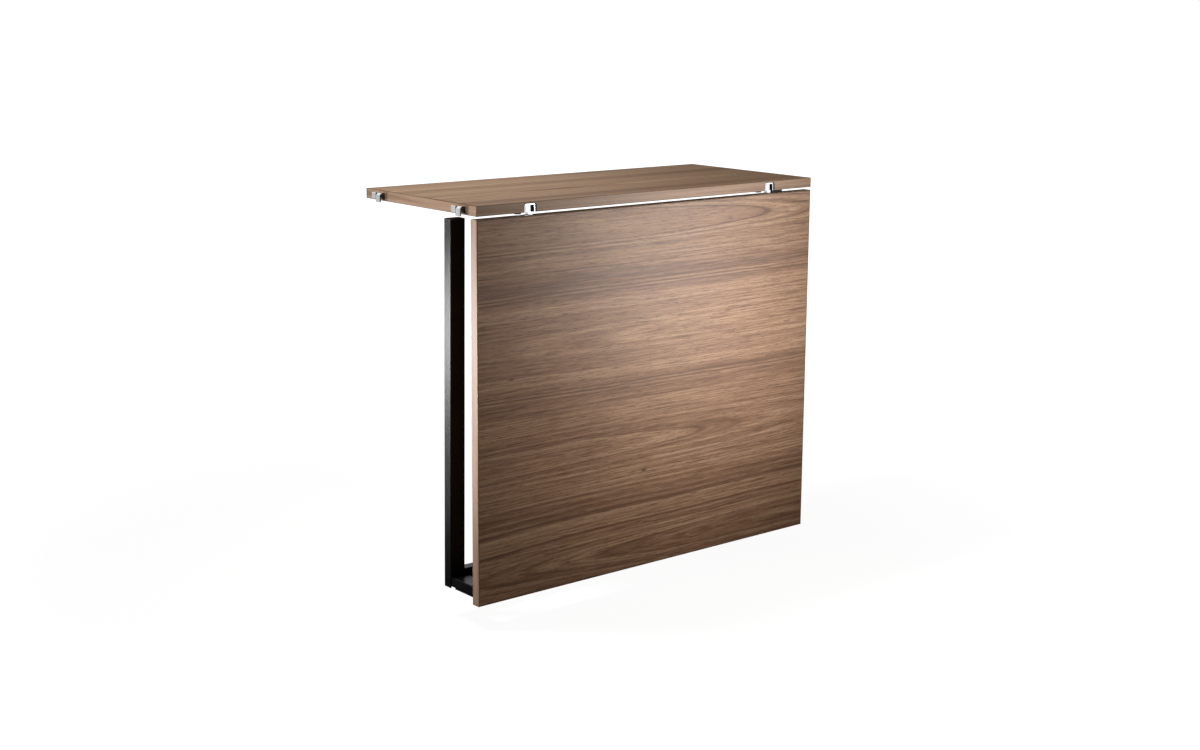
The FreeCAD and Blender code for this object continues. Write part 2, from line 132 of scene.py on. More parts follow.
veneerNoise = {              # stretch along and across the grain, detail, roughness
    "lazy": (1.5, 4.5, 1.5, 0.5),
    "tight": (7.0, 26.0, 2.0, 0.5),
    "fibre": (3.0, 170.0, 5.0, 0.65),
    "dash": (10.0, 430.0, 4.0, 0.7),
    "tick": (26.0, 560.0, 3.0, 0.65),
    "broad": (1.1, 17.0, 2.0, 0.5),
    "pore": (75.0, 1250.0, 1.0, 0.5),
}

growthRings = {
    "tight": 0.14,           # tight waves against lazy ones
    "jump": 7.3,             # rings passed from one sheet to the next
    "bands": (3.0, 0.62),    # detail and roughness of the broad bands
    "lines": (2.6, 1.0),     # how many fine lines to a band, and their detail
}

veneerMarks = {              # where a mark begins, and where it is full
    "line": (0.36, 0.24),
    "pale": (0.66, 0.78),
    "tick": (0.53, 0.71),
    "pit": (0.585, 0.70),
    "rift": (0.33, 0.44),    # straight grain at a sheet's sides
    "shoulder": (0.20, 0.30),
}

veneerTone = {               # what each mark adds to the tone
    "base": 0.53,
    "broad": 0.50,
    "line": -0.36,
    "pale": 0.28,
    "rift": -0.21,
    "shoulder": 0.09,
    "stops": (0.08, 0.50, 0.95),  # tones of the dark, middle and light shades
    "pit": 0.62,             # how far a pit takes the pore's colour
}

pinKnot = {"half": (0.0065, 0.0024), "fade": (1.6, 0.2), "depth": 0.75}
# dark glue line, widened to carry the painted shade of the arris
glueLineAndShade = {"fade": (0.0009, 0.0003), "depth": 0.7}
woodRelief = {"pit": -1.0, "fibre": 0.4, "veneer": (0.25, 0.00012), "edge": (0.2, 0.0001)}

leafVeneer = {
    "across": "Z",
    "sheet": 0.198,          # height of one sheet
    "start": -0.142,         # a joint between two sheets
    "heart": 0.017,          # nearest growth ring to the sheet's middle
    "taper": -0.044,         # how fast the rings run out along X
    "ringPitch": 0.0080,
    "wave": 0.020,
    "bold": (-0.40, -0.56, 1.05, 1.75),  # growth rings, bolder low down
    "fibre": 0.85,
    "dash": 1.40,            # fine dark and pale streaks
    "tick": 0.90,            # short dark dashes of open pores
    "tint": (1.13, 1.12, 1.06),
    "seed": 3.1,
    "knots": [(-0.320, -0.290), (-0.022, -0.497)],
    "border": {"X": (-0.3885, 0.3885), "Z": (-0.675, -0.016)},
    "gloss": 0.14,
    "rough": (0.335, 0.395),
}

shelfVeneer = {
    "across": "Y",
    "sheet": 0.190,
    "start": -0.300,
    "heart": 0.022,
    "taper": 0.016,
    "ringPitch": 0.0105,
    "wave": 0.012,
    "bold": (-0.30, 0.0, 0.80, 0.80),
    "fibre": 0.45,
    "dash": 0.60,
    "tick": 0.35,
    "tint": (1.0, 1.10, 1.07),
    "seed": 8.4,
    "knots": [(0.215, -0.120)],
    "border": {"X": (-0.3885, 0.3885), "Y": (-0.3335, -0.0015)},
    "gloss": 0.055,
    "rough": (0.50, 0.60),
}


def knotMask(tree, along, across, knots):
    # small pin knots, drawn out along the grain
    halfLong, halfTall = pinKnot["half"]
    mask = 0.0
    for x, y in knots:
        flat = math2(tree, "DIVIDE", math2(tree, "SUBTRACT", along, x), halfLong)
        tall = math2(tree, "DIVIDE", math2(tree, "SUBTRACT", across, y), halfTall)
        far = math2(tree, "MULTIPLY_ADD", flat, flat, math2(tree, "MULTIPLY", tall, tall))
        mask = math2(tree, "MAXIMUM", remap(tree, far, *pinKnot["fade"], 0.0, pinKnot["depth"]), mask)
    return mask


def glueAndArrisShadeMask(tree, axes, border):
    # dark glue line where the veneer meets the edge bands, drawn wide and dark as painted shade along the
    # arris
    mask = 0.0
    for axis, levels in border.items():
        for level in levels:
            gap = math2(tree, "ABSOLUTE", math2(tree, "SUBTRACT", axes[axis], level))
            mask = math2(tree, "MAXIMUM", remap(tree, gap, *glueLineAndShade["fade"], 0.0, glueLineAndShade["depth"]), mask)
    return mask


def reliefOf(tree, pits, fibre, kind):
    swell = math2(tree, "MULTIPLY", fibre, woodRelief["fibre"])
    height = math2(tree, "MULTIPLY_ADD", pits, woodRelief["pit"], swell)
    return bumpOf(tree, height, *woodRelief[kind])


def veneerMaterial(name, look):
    made, tree, shader = startMaterial(name)
    coords = coordsOf(tree)
    axes = axesOf(tree, coords)
    along = axes["X"]
    across = axes[look["across"]]
    place = (look["seed"], look["seed"], look["seed"])
    noise = {}
    for key, (lengthwise, crosswise, detail, roughness) in veneerNoise.items():
        noise[key] = noiseOf(tree, coords, (lengthwise, crosswise, crosswise), detail, roughness, place)

    # lazy waves in the grain
    swing = math2(tree, "MULTIPLY_ADD", noise["lazy"], look["wave"], -look["wave"] / 2)
    swing = math2(tree, "MULTIPLY_ADD", noise["tight"], look["wave"] * growthRings["tight"], swing)
    waved = math2(tree, "ADD", across, swing)

    # which sheet, and how far from its middle
    spot = math2(tree, "DIVIDE", math2(tree, "SUBTRACT", waved, look["start"]), look["sheet"])
    sheet = math2(tree, "FLOOR", spot)
    aside = math2(tree, "SUBTRACT", math2(tree, "FRACT", spot), 0.5)
    off = math2(tree, "MULTIPLY", aside, look["sheet"])
    turn = math2(tree, "MULTIPLY_ADD", math2(tree, "FLOORED_MODULO", sheet, 2.0), 2.0, -1.0)

    # rings cut at a slant: wide arches in the middle of a sheet, close lines at its sides
    slant = math2(tree, "MULTIPLY", math2(tree, "MULTIPLY", along, turn), look["taper"])
    deep = math2(tree, "ADD", slant, look["heart"])
    square = math2(tree, "MULTIPLY_ADD", off, off, math2(tree, "MULTIPLY", deep, deep))
    reach = math2(tree, "DIVIDE", math2(tree, "SQRT", square), look["ringPitch"])
    ring = math2(tree, "MULTIPLY_ADD", sheet, growthRings["jump"], reach)
    bands = noiseAlong(tree, ring, *growthRings["bands"])
    perBand, lineDetail = growthRings["lines"]
    lines = noiseAlong(tree, math2(tree, "MULTIPLY_ADD", ring, perBand, look["seed"]), lineDetail)

    # fine lines, straight-grained sides, and pores
    line = remap(tree, lines, *veneerMarks["line"], 0.0, 1.0, "SMOOTHSTEP")
    pale = remap(tree, lines, *veneerMarks["pale"], 0.0, 1.0, "SMOOTHSTEP")
    side = math2(tree, "ABSOLUTE", aside)
    rift = remap(tree, side, *veneerMarks["rift"], 0.0, 1.0, "SMOOTHSTEP")
    shoulder = remap(tree, side, *veneerMarks["shoulder"], 0.0, 1.0, "SMOOTHSTEP")
    shoulder = math2(tree, "MULTIPLY", shoulder, math2(tree, "SUBTRACT", 1.0, rift))
    ticks = remap(tree, noise["tick"], *veneerMarks["tick"], 0.0, look["tick"])
    pits = remap(tree, noise["pore"], *veneerMarks["pit"], 0.0, 1.0)

    # noises count from their middle, marks from nothing
    bold = remap(tree, across, *look["bold"], "SMOOTHSTEP")
    tone = math2(tree, "MULTIPLY_ADD", math2(tree, "SUBTRACT", bands, 0.5), bold, veneerTone["base"])
    shares = {"fibre": look["fibre"], "dash": look["dash"], "broad": veneerTone["broad"]}
    for key, share in shares.items():
        tone = math2(tree, "MULTIPLY_ADD", math2(tree, "SUBTRACT", noise[key], 0.5), share, tone)
    for key, mark in {"line": line, "pale": pale, "rift": rift, "shoulder": shoulder}.items():
        tone = math2(tree, "MULTIPLY_ADD", mark, veneerTone[key], tone)

    shades = []
    for key in ("dark", "middle", "light"):
        shades.append([shade * tint for shade, tint in zip(walnut[key], look["tint"])])
    colour = rampOf(tree, tone, veneerTone["stops"], shades)
    colour = mixColour(tree, ticks, colour, (*walnut["pore"], 1))
    colour = mixColour(tree, math2(tree, "MULTIPLY", pits, veneerTone["pit"]), colour, (*walnut["pore"], 1))
    colour = mixColour(tree, knotMask(tree, along, across, look["knots"]), colour, (*walnut["knot"], 1))
    colour = mixColour(tree, glueAndArrisShadeMask(tree, axes, look["border"]), colour, (*walnut["glueAndShade"], 1))
    wire(tree, shader, {
        "Base Color": colour,
        "Roughness": remap(tree, noise["fibre"], *noiseSpan, *look["rough"]),
        "Normal": reliefOf(tree, pits, noise["fibre"], "veneer"),
        "Specular IOR Level": look["gloss"],
    })
    return made


# Edge bands: plain straight-grained strips of the same wood

edgeBands = {                # grain axis, and the face where the band's thin side shows
    "shelf_front_edge": "XZ",
    "shelf_rear_edge": "XZ",
    "shelf_left_edge": "YZ",
    "shelf_right_edge": "YZ",
    "leaf_hinge_edge": "XY",
    "leaf_free_edge": "XY",
    "leaf_left_edge": "ZY",
    "leaf_right_edge": "ZY",
}

edgeLooks = {                # painted shade: how dark the thin side and the soft corners are painted; gain is painted light and shade, each group of bands lighter or darker as a whole
    "XZ": {"gloss": 0.115, "rough": (0.34, 0.42), "stripShade": 0.72, "arrisShade": 0.35, "lightAndShadeGain": 1.06},
    "YZ": {"gloss": 0.08, "rough": (0.42, 0.50), "stripShade": 0.78, "arrisShade": 0.55, "lightAndShadeGain": 1.02},
    "XY": {"gloss": 0.11, "rough": (0.34, 0.42), "stripShade": 0.45, "arrisShade": 0.0, "lightAndShadeGain": 0.90},
    "ZY": {"gloss": 0.145, "rough": (0.35, 0.42), "stripShade": 0.20, "arrisShade": 0.0, "lightAndShadeGain": 0.86},
}

edgeWalnut = {
    "dark": (0.215, 0.124, 0.074),
    "middle": (0.352, 0.220, 0.138),
    "light": (0.475, 0.322, 0.218),
    # end grain's colour, also the colour of the painted shade on the thin side and the arrises
    "endGrainShadeColour": (0.028, 0.015, 0.009),
}

edgeNoise = {                # stretch along and across the grain, detail, roughness
    "fibre": (4.0, 140.0, 5.0, 0.62),
    "fleck": (110.0, 1300.0, 2.0, 0.5),
}

edgeMarks = {
    "stops": (0.28, 0.50, 0.74),
    "pit": (0.58, 0.72),
    "pitDepth": 0.35,
    "square": (0.8, 0.95),   # how squarely a face looks along an axis
    "cutEnd": 0.85,
    "arrisShade": (0.0074, 0.0084),  # height over the board's middle where the painted arris shade begins and is full
    "dull": 0.45,
}


def edgeMaterial(name, bandAxes, look):
    made, tree, shader = startMaterial(name)
    run, face = bandAxes
    coords = coordsOf(tree)
    noise = {}
    for key, (lengthwise, crosswise, detail, roughness) in edgeNoise.items():
        stretch = [lengthwise if axis == run else crosswise for axis in "XYZ"]
        noise[key] = noiseOf(tree, coords, stretch, detail, roughness)
    pits = remap(tree, noise["fleck"], *edgeMarks["pit"], 0.0, 1.0)
    shades = []
    for key in ("dark", "middle", "light"):
        # painted light and shade: each group of bands made lighter or darker as a whole
        shades.append([look["lightAndShadeGain"] * shade for shade in edgeWalnut[key]])
    colour = rampOf(tree, noise["fibre"], edgeMarks["stops"], shades)
    flecks = math2(tree, "MULTIPLY", pits, edgeMarks["pitDepth"])
    colour = mixColour(tree, flecks, colour, (*edgeWalnut["dark"], 1))

    # the cut ends of a band drink more lacquer and stay dark and dull; its thin side and its arrises get
    # painted shade, darker and duller
    facing = axesOf(tree, coordsOf(tree, "Normal"))
    endOn = math2(tree, "ABSOLUTE", facing[run])
    sideOn = math2(tree, "ABSOLUTE", facing[face])
    level = math2(tree, "ABSOLUTE", axesOf(tree, coords)[face])
    cutEnd = remap(tree, endOn, *edgeMarks["square"], 0.0, edgeMarks["cutEnd"])
    stripShade = remap(tree, sideOn, *edgeMarks["square"], 0.0, look["stripShade"])
    arrisShade = remap(tree, level, *edgeMarks["arrisShade"], 0.0, look["arrisShade"])
    endGrainAndShade = math2(tree, "MAXIMUM", math2(tree, "MAXIMUM", cutEnd, stripShade), arrisShade)
    rough = remap(tree, noise["fibre"], *noiseSpan, *look["rough"])
    wire(tree, shader, {
        "Base Color": mixColour(tree, endGrainAndShade, colour, (*edgeWalnut["endGrainShadeColour"], 1)),
        "Roughness": math2(tree, "MULTIPLY_ADD", endGrainAndShade, edgeMarks["dull"], rough),
        "Normal": reliefOf(tree, pits, noise["fibre"], "edge"),
        "Specular IOR Level": look["gloss"],
    })
    return made


# Metal and plastic

chrome = {"colour": (0.83, 0.84, 0.86), "shade": 0.90, "haze": 60.0, "rough": (0.05, 0.13)}
zinc = {"colour": (0.60, 0.60, 0.58), "shade": 0.90, "haze": 420.0, "rough": (0.28, 0.46)}
powderCoat = {
    "dark": (0.0030, 0.0030, 0.0032),
    "light": (0.0050, 0.0050, 0.0053),
    "cloud": 14.0,
    "rough": (0.23, 0.28),
    "gloss": 0.110,
    "peel": 900.0,
    "bump": (0.25, 0.00008),
}
blackPlastic = {
    "dark": (0.006, 0.006, 0.0063),
    "light": (0.011, 0.011, 0.0115),
    "cloud": 14.0,
    "rough": (0.42, 0.58),
    "gloss": 0.20,
    "peel": 1600.0,
    "bump": (0.25, 0.00005),
}


def metalMaterial(name, look):
    made, tree, shader = startMaterial(name)
    haze = noiseOf(tree, coordsOf(tree), (look["haze"], look["haze"], look["haze"]), detail=3.0)
    shaded = [look["shade"] * part for part in look["colour"]]
    wire(tree, shader, {
        "Base Color": mixColour(tree, haze, (*shaded, 1), (*look["colour"], 1)),
        "Roughness": remap(tree, haze, *noiseSpan, *look["rough"]),
        "Metallic": 1.0,
    })
    return made


def blackMaterial(name, look):
    made, tree, shader = startMaterial(name)
    coords = coordsOf(tree)
    peel = noiseOf(tree, coords, (look["peel"], look["peel"], look["peel"]), detail=2.0)
    cloud = noiseOf(tree, coords, (look["cloud"], look["cloud"], look["cloud"]), detail=3.0)
    wire(tree, shader, {
        "Base Color": mixColour(tree, cloud, (*look["dark"], 1), (*look["light"], 1)),
        "Roughness": remap(tree, cloud, *noiseSpan, *look["rough"]),
        "Normal": bumpOf(tree, peel, *look["bump"]),
        "Specular IOR Level": look["gloss"],
    })
    return made


# Painted shade: black painted into the hooks' throats, on their cut ends and along the seam between a hook's
# two stretches, and into the hinges' pockets and on the knuckles that turn there
throatShade = {
    "rungX": 0.3947,
    "radius": 0.00318,
    "cutEnd": 0.8,           # faces along Y are the strip's cut ends, painted black as shade
    "middleY": -0.1675,      # halfway between the hooks
    "seamY": 0.1215,         # from there to the seam between a hook's two stretches, painted dark as shade
    "seamHalf": 0.0006,
}
pocketShade = {"middleX": 0.2800, "halfX": 0.0093, "frontY": -0.3331, "backY": -0.3169, "lowZ": -0.0090}
paintedShade = {"colour": (0.006, 0.006, 0.006), "dull": 0.55}


# chrome left unshaded: everything but the painted shade in the throat, on the cut ends and along the seam
def outsideThroatShade(tree, axes):
    aside = math2(tree, "SUBTRACT", math2(tree, "ABSOLUTE", axes["X"]), throatShade["rungX"])
    above = math2(tree, "MAXIMUM", axes["Z"], 0.0)
    square = math2(tree, "MULTIPLY_ADD", aside, aside, math2(tree, "MULTIPLY", above, above))
    unshaded = math2(tree, "GREATER_THAN", math2(tree, "SQRT", square), throatShade["radius"])
    facing = axesOf(tree, coordsOf(tree, "Normal"))
    endOn = math2(tree, "ABSOLUTE", facing["Y"])
    unshaded = math2(tree, "MULTIPLY", unshaded, math2(tree, "LESS_THAN", endOn, throatShade["cutEnd"]))
    away = math2(tree, "ABSOLUTE", math2(tree, "SUBTRACT", axes["Y"], throatShade["middleY"]))
    away = math2(tree, "ABSOLUTE", math2(tree, "SUBTRACT", away, throatShade["seamY"]))
    return math2(tree, "MULTIPLY", unshaded, math2(tree, "GREATER_THAN", away, throatShade["seamHalf"]))


# chrome outside the hinge pocket, where no shade is painted
def outsidePocketShade(tree, axes):
    aside = math2(tree, "SUBTRACT", math2(tree, "ABSOLUTE", axes["X"]), pocketShade["middleX"])
    inside = math2(tree, "LESS_THAN", math2(tree, "ABSOLUTE", aside), pocketShade["halfX"])
    inside = math2(tree, "MULTIPLY", inside, math2(tree, "GREATER_THAN", axes["Y"], pocketShade["frontY"]))
    inside = math2(tree, "MULTIPLY", inside, math2(tree, "LESS_THAN", axes["Y"], pocketShade["backY"]))
    inside = math2(tree, "MULTIPLY", inside, math2(tree, "GREATER_THAN", axes["Z"], pocketShade["lowZ"]))
    return math2(tree, "SUBTRACT", 1.0, inside)


# chrome, painted black and dull as shade wherever the mask gives nothing
def metalWithPaintedShade(name, look, pickUnshaded):
    made = metalMaterial(name, look)
    tree = made.node_tree
    shader = tree.nodes["Principled BSDF"]
    unshaded = pickUnshaded(tree, axesOf(tree, coordsOf(tree)))
    plated = shader.inputs["Base Color"].links[0].from_socket
    polish = shader.inputs["Roughness"].links[0].from_socket
    dull = math2(tree, "ADD", polish, paintedShade["dull"])
    wire(tree, shader, {
        "Base Color": mixColour(tree, unshaded, (*paintedShade["colour"], 1), plated),
        "Roughness": math2(tree, "MULTIPLY_ADD", unshaded, -paintedShade["dull"], dull),
        "Metallic": unshaded,
    })
    return made


finishes = {
    "leaf": veneerMaterial("leafWalnut", leafVeneer),
    "shelf": veneerMaterial("shelfWalnut", shelfVeneer),
    **{axes: edgeMaterial("edgeBand" + axes, axes, look) for axes, look in edgeLooks.items()},
    "chrome": metalMaterial("polishedChrome", chrome),
    "hook": metalWithPaintedShade("hookChromePaintedShade", chrome, outsideThroatShade),
    "hinge": metalWithPaintedShade("hingeChromePaintedShade", chrome, outsidePocketShade),
    "zinc": metalMaterial("zincPlate", zinc),
    "coat": blackMaterial("satinBlackCoat", powderCoat),
    "plastic": blackMaterial("blackPlastic", blackPlastic),
}

nodeFinishes = {             # by the start of a node's name
    **edgeBands,
    "leaf_panel": "leaf",
    "shelf_panel": "shelf",
    "hook": "hook",
    "hinge_housing": "hinge",
    "hinge_arm": "hinge",
    "hinge_spacer": "chrome",
    "hinge_pin": "zinc",
    "housing_screws": "zinc",
    "arm_screws": "zinc",
    "bracket_screws": "zinc",
    "leg_tube": "coat",
    "leg_bracket": "coat",
    "cross_rail": "coat",
    "pivot_pin": "coat",
    "foot_cap": "plastic",
}

for name, node in nodes.items():
    finish = next(key for start, key in nodeFinishes.items() if name.startswith(start))
    node.data.materials.clear()
    node.data.materials.append(finishes[finish])
print("finishes:", len(finishes), "on", len(nodes), "nodes")


# Pieces that show more than the solids do

mergeGap = 0.000002
nearlyAlong = 0.9            # how closely a face's normal follows an axis
quiteAlong = 0.999


def addObject(name, data):
    made = bpy.data.objects.new(name, data)
    bpy.context.scene.collection.objects.link(made)
    return made


def meshFrom(name, shape):
    mesh = bpy.data.meshes.new(name)
    shape.to_mesh(mesh)
    shape.free()
    return mesh


def joinShape(shape, other):
    passing = meshFrom("passing", other)
    shape.from_mesh(passing)
    bpy.data.meshes.remove(passing)


def makePiece(name, shape, body, finish, *replaced):
    bmesh.ops.remove_doubles(shape, verts=shape.verts, dist=mergeGap)
    bmesh.ops.recalc_face_normals(shape, faces=shape.faces)
    mesh = meshFrom(name, shape)
    mesh.materials.append(finishes[finish])
    piece = addObject(name, mesh)
    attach(piece, body)
    if replaced:
        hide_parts(*replaced)


def turned(degrees, axis):
    return Matrix.Rotation(math.radians(degrees), 3, axis)


def pick(geom, kind):
    return [item for item in geom if isinstance(item, kind)]


def facesAlong(shape, axis, limit=nearlyAlong):
    shape.normal_update()
    return [face for face in shape.faces if face.normal.dot(Vector(axis)) > limit]


def bevelEdges(shape, edges, offset, segments):
    bmesh.ops.bevel(shape, geom=list(edges), offset=offset, offset_type="OFFSET", affect="EDGES",
                    segments=segments, profile=0.5, material=-1)


def softBlock(size, corner, crown, outward, cornerSteps=5, crownSteps=4):
    # rounded uprights, and a soft rim round the face that looks outward
    block = bmesh.new()
    bmesh.ops.create_cube(block, size=1.0)
    bmesh.ops.scale(block, vec=size, verts=block.verts)
    uprights = [edge for edge in block.edges if abs(edge.verts[0].co.z - edge.verts[1].co.z) > size[2] / 2]
    bevelEdges(block, uprights, corner, cornerSteps)
    bevelEdges(block, facesAlong(block, outward)[0].edges, crown, crownSteps)
    return block


hexScrew = {
    "reach": 0.00462,        # head, corner to middle
    "head": 0.0030,
    "crown": 0.0007,         # softened top corners
    "rim": 0.28,             # flat rim, as a share of the reach
    "dish": 0.00035,
    "shank": 0.0020,
    "length": 0.0140,
    "turns": (0.35, 1.7),    # first head's turn, and how much more each next one has
}

screwPlaces = {
    "housingScrews": {"node": "housing_screws", "body": "shelf", "out": (0, 0, -1), "seats": [
        (x, y, -0.009) for x in (-0.280, 0.280) for y in (-0.30975, -0.29575)]},
    "armScrews": {"node": "arm_screws", "body": "leaf", "out": (0, 1, 0), "seats": [
        (x, -0.317, z) for x in (-0.280, 0.280) for z in (-0.0535, -0.0395)]},
    "bracketScrews": {"node": "bracket_screws", "body": "leaf", "out": (0, 1, 0), "seats": [
        (x, -0.314, -0.654) for x in (-0.331, -0.303, 0.303, 0.331)]},
}


def addScrew(shape, plan, seat, out, turn):
    one = bmesh.new()
    up = (0, 0, 1)
    bmesh.ops.create_cone(one, cap_ends=True, segments=6, depth=plan["head"],
                          radius1=plan["reach"], radius2=plan["reach"])
    bmesh.ops.translate(one, vec=(0, 0, plan["head"] / 2), verts=one.verts)
    bevelEdges(one, facesAlong(one, up)[0].edges, plan["crown"], segments=2)
    top = facesAlong(one, up, quiteAlong)
    bmesh.ops.inset_region(one, faces=top, thickness=plan["reach"] * plan["rim"], depth=0.0)
    middle = min(facesAlong(one, up, quiteAlong), key=lambda face: face.calc_center_median().xy.length)
    bmesh.ops.inset_region(one, faces=[middle], thickness=plan["dish"], depth=-plan["dish"])
    stem = bmesh.ops.create_cone(one, cap_ends=True, segments=16, depth=plan["length"],
                                 radius1=plan["shank"], radius2=plan["shank"])
    bmesh.ops.translate(one, vec=(0, 0, -plan["length"] / 2), verts=stem["verts"])
    lay = Vector(up).rotation_difference(Vector(out)).to_matrix().to_4x4()
    place = Matrix.Translation(seat) @ lay @ Matrix.Rotation(turn, 4, "Z")
    bmesh.ops.transform(one, matrix=place, verts=one.verts)
    joinShape(shape, one)


def makeScrews(name, spots, plan):
    shape = bmesh.new()
    firstTurn, nextTurn = plan["turns"]
    for count, seat in enumerate(spots["seats"]):
        addScrew(shape, plan, seat, spots["out"], firstTurn + nextTurn * count)
    makePiece(name, shape, spots["body"], "zinc", spots["node"])


for name, spots in screwPlaces.items():
    makeScrews(name, spots, hexScrew)
print("screws:", sum(len(spots["seats"]) for spots in screwPlaces.values()))


# A thin black frame round each hinge housing's cut-out: painted shade, a dark thing standing for the shadow
# gap there
hingeShadowFrame = {
    "middles": (-0.280, 0.280),
    "halfX": 0.0120,
    "low": -0.0089,
    "high": 0.00575,
    "corner": 0.0035,
    "width": 0.0011,
    "front": -0.33504,
    "depth": 0.0016,
}


# black frames of painted shade, where the cut-out's shadow gap would be
def makeShadowFrames(name, plan):
    shape = bmesh.new()
    for middle in plan["middles"]:
        one = bmesh.new()
        bmesh.ops.create_grid(one, x_segments=1, y_segments=1, size=0.5)
        wide = 2 * (plan["halfX"] + plan["width"])
        tall = plan["high"] + plan["width"] - plan["low"]
        bmesh.ops.scale(one, vec=(wide, tall, 1.0), verts=one.verts)
        upper = [vert for vert in one.verts if vert.co.y > 0]
        bmesh.ops.bevel(one, geom=upper, offset=plan["corner"] + plan["width"], offset_type="OFFSET",
                        affect="VERTICES", segments=6, profile=0.5, material=-1)
        bmesh.ops.inset_individual(one, faces=one.faces, thickness=plan["width"], depth=0.0)
        inner = max(one.faces, key=lambda face: face.calc_area())
        bmesh.ops.delete(one, geom=[inner], context="FACES_ONLY")
        foot = min(one.faces, key=lambda face: face.calc_center_median().y)
        bmesh.ops.delete(one, geom=[foot], context="FACES_ONLY")
        skin = bmesh.ops.extrude_face_region(one, geom=one.faces[:])
        back = pick(skin["geom"], bmesh.types.BMVert)
        bmesh.ops.translate(one, vec=(0, 0, -plan["depth"]), verts=back)
        bmesh.ops.rotate(one, cent=(0, 0, 0), matrix=turned(90, "X"), verts=one.verts)
        lift = (plan["high"] + plan["width"] + plan["low"]) / 2
        bmesh.ops.translate(one, vec=(middle, plan["front"], lift), verts=one.verts)
        joinShape(shape, one)
    makePiece(name, shape, "shelf", "plastic")


makeShadowFrames("hingeShadowFrames", hingeShadowFrame)
print("hinge seals:", len(hingeShadowFrame["middles"]))


# Rubber buffers under the shelf, left of each hinge, over the hanging leaf
leafBuffer = {
    "spots": (-0.2985, 0.2615),
    "middleY": -0.3235,
    "top": -0.0090,
    "size": (0.0115, 0.0090, 0.0030),
    "corner": 0.0027,
    "crown": 0.0012,
}


def makeBuffers(name, plan):
    shape = bmesh.new()
    for spot in plan["spots"]:
        one = softBlock(plan["size"], plan["corner"], plan["crown"], (0, 0, -1))
        middleZ = plan["top"] - plan["size"][2] / 2
        bmesh.ops.translate(one, vec=(spot, plan["middleY"], middleZ), verts=one.verts)
        joinShape(shape, one)
    makePiece(name, shape, "shelf", "plastic")


makeBuffers("leafBuffers", leafBuffer)
print("buffers:", len(leafBuffer["spots"]))


# The leg frame leans to the leaf about its pivot
lean = {"pivot": (0.0, -0.2420, -0.6540), "angle": 0.75}


def leanShape(shape):
    bmesh.ops.rotate(shape, cent=lean["pivot"], matrix=turned(lean["angle"], "X"), verts=shape.verts)


footCap = {
    "middle": (0.375, -0.2420),
    "low": -0.02308,         # tube's end
    "high": -0.02008,
    "size": (0.0300, 0.0200),
    "corner": 0.0020,
    "crown": 0.0011,
    "groove": 0.0003,        # shadow line over the tube
    "wall": 0.0016,          # tube's wall and a little room
    "plug": 0.0180,
}


def makeFootCap(name, side, plan, node):
    down = (0, 0, -1)
    tall = plan["high"] - plan["low"] - plan["groove"]
    shape = softBlock((*plan["size"], tall), plan["corner"], plan["crown"], (0, 0, 1))
    bmesh.ops.inset_region(shape, faces=facesAlong(shape, down), thickness=plan["groove"], depth=0.0)
    under = max(facesAlong(shape, down), key=lambda face: face.calc_area())
    neck = bmesh.ops.extrude_face_region(shape, geom=[under])["geom"]
    bmesh.ops.delete(shape, geom=[under], context="FACES_ONLY")
    bmesh.ops.translate(shape, vec=(0, 0, -plan["groove"]), verts=pick(neck, bmesh.types.BMVert))
    plug = pick(neck, bmesh.types.BMFace)
    bmesh.ops.inset_region(shape, faces=plug, thickness=plan["wall"], depth=0.0)
    deep = bmesh.ops.extrude_face_region(shape, geom=plug)["geom"]
    bmesh.ops.delete(shape, geom=plug, context="FACES_ONLY")
    bmesh.ops.translate(shape, vec=(0, 0, -plan["plug"]), verts=pick(deep, bmesh.types.BMVert))
    x, y = plan["middle"]
    bmesh.ops.translate(shape, vec=(side * x, y, plan["high"] - tall / 2), verts=shape.verts)
    leanShape(shape)
    makePiece(name, shape, "leg_frame", "plastic", node)


makeFootCap("footCapLeft", -1, footCap, "foot_cap_left")
makeFootCap("footCapRight", 1, footCap, "foot_cap_right")
print("foot caps: 2")


weldBead = {
    "joint": 0.3600,         # inner side of a leg
    "sink": 0.0002,          # how far the bead's middle lies inside the leg's face
    "centre": (-0.2420, -0.6500),
    "half": (0.0100, 0.0150),
    "corner": 0.0030,
    "radius": 0.0013,
    "steps": 6,              # along each side of the rail
    "ripple": 0.0002,
    "rate": (2600, 2200),    # of the ripple along Y and Z
    "mergeGap": 0.00002,
}


